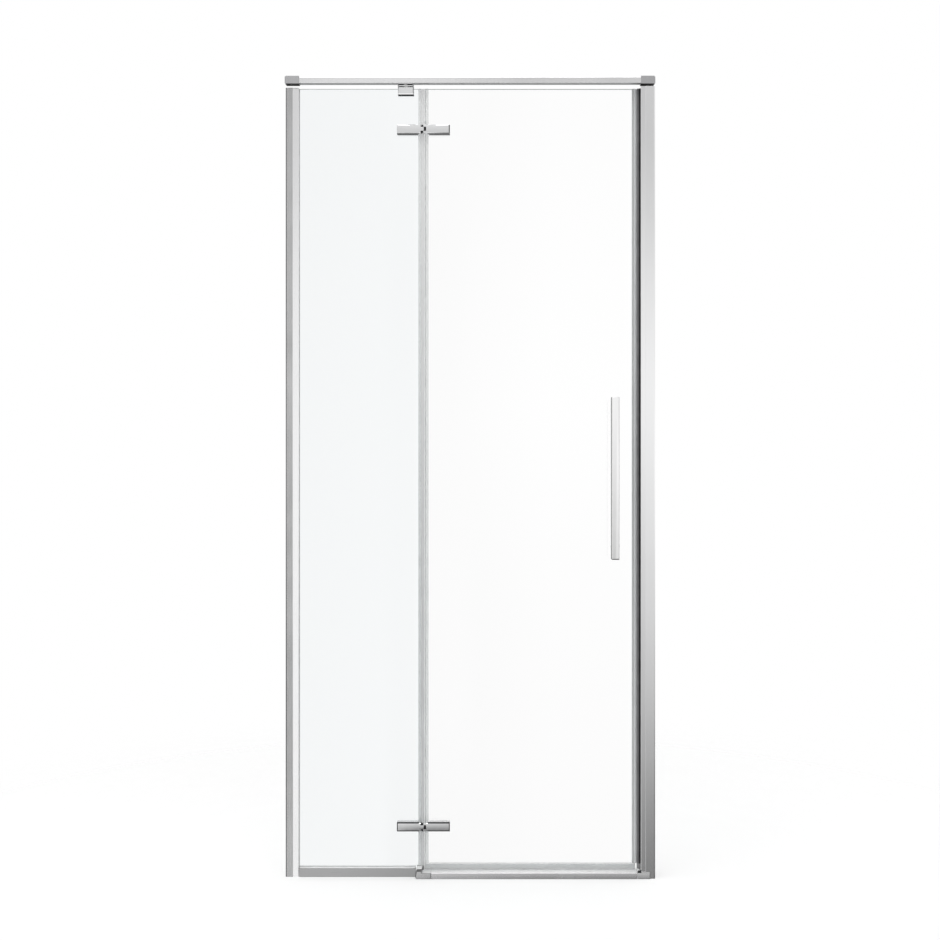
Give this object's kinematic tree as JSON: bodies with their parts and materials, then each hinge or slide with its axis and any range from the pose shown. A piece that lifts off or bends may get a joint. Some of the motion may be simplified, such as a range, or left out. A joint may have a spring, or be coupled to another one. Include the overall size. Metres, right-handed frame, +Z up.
{
  "type": "pivot shower door",
  "caption": "Hinged glass shower door for a recess: narrow fixed pane, door hung from it on glass clamp hinges, wall profiles, header rail, low threshold and bar handle.",
  "frame": {"origin": "on the floor, half way between the two walls, in the mid-plane of the glass, on the underside of the threshold bar", "axes": "+X to the right seen from outside the shower, +Y into the shower, +Z up; the handle and the front faces look towards -Y"},
  "size_m": [0.9, 0.077, 1.95],
  "materials": {
    "aluminium_profile": "bright anodised",
    "chrome_fitting": "polished chrome plate",
    "steel_fastener": "stainless, machined",
    "clear_glass": "clear toughened float glass",
    "clear_vinyl": "translucent extruded vinyl",
    "grey_rubber": "satin extruded rubber",
    "magnet_strip": "matt magnetic strip"
  },
  "bodies": {
    "frame": {"wall_channel_left": "aluminium_profile", "wall_channel_right": "aluminium_profile", "glazing_profile_left": "aluminium_profile", "strike_profile_right": "aluminium_profile", "side_gasket": "grey_rubber", "rail_gasket": "grey_rubber", "bottom_rail": "aluminium_profile", "fixed_glass": "clear_glass", "fixed_edge_seal": "clear_vinyl", "magnet_carrier": "grey_rubber", "strike_magnet": "magnet_strip", "threshold_bar": "aluminium_profile", "threshold_block_left": "chrome_fitting", "threshold_block_right": "chrome_fitting", "header_rail": "aluminium_profile", "header_bracket_left": "chrome_fitting", "header_bracket_right": "chrome_fitting", "header_wall_plate_left": "steel_fastener", "header_wall_plate_right": "steel_fastener", "rail_grub_screw_left": "steel_fastener", "rail_grub_screw_right": "steel_fastener", "glass_clamp_body": "chrome_fitting", "glass_clamp_plate": "chrome_fitting", "clamp_jaw_screw": "steel_fastener", "clamp_rail_screw": "steel_fastener", "profile_screw_left_1": "steel_fastener", "profile_screw_left_2": "steel_fastener", "profile_screw_left_3": "steel_fastener", "profile_screw_right_1": "steel_fastener", "profile_screw_right_2": "steel_fastener", "profile_screw_right_3": "steel_fastener", "hinge_pin_lower": "steel_fastener", "hinge_pin_upper": "steel_fastener", "hinge_fixed_leaf_lower": "chrome_fitting", "hinge_fixed_leaf_upper": "chrome_fitting", "hinge_fixed_plate_lower": "chrome_fitting", "hinge_fixed_plate_upper": "chrome_fitting", "hinge_fixed_screw_lower_1": "steel_fastener", "hinge_fixed_screw_lower_2": "steel_fastener", "hinge_fixed_screw_upper_1": "steel_fastener", "hinge_fixed_screw_upper_2": "steel_fastener"},
    "door": {"hinge_door_leaf_lower": "chrome_fitting", "hinge_door_leaf_upper": "chrome_fitting", "hinge_door_plate_lower": "chrome_fitting", "hinge_door_plate_upper": "chrome_fitting", "hinge_door_screw_lower_1": "steel_fastener", "hinge_door_screw_lower_2": "steel_fastener", "hinge_door_screw_upper_1": "steel_fastener", "hinge_door_screw_upper_2": "steel_fastener", "door_glass": "clear_glass", "door_hinge_seal": "clear_vinyl", "door_strike_seal": "clear_vinyl", "door_magnet": "magnet_strip", "door_bottom_seal": "clear_vinyl", "handle_bar": "chrome_fitting", "handle_post_lower": "chrome_fitting", "handle_post_upper": "chrome_fitting", "handle_button_lower": "chrome_fitting", "handle_button_upper": "chrome_fitting"}
  },
  "joints": [
    {"name": "door_swing", "type": "hinge", "parent": "frame", "child": "door", "pos_m": [-0.1137, -0.0155, 0.9733], "axis": [0, 0, -1], "range_deg": [0, 90]}
  ]
}
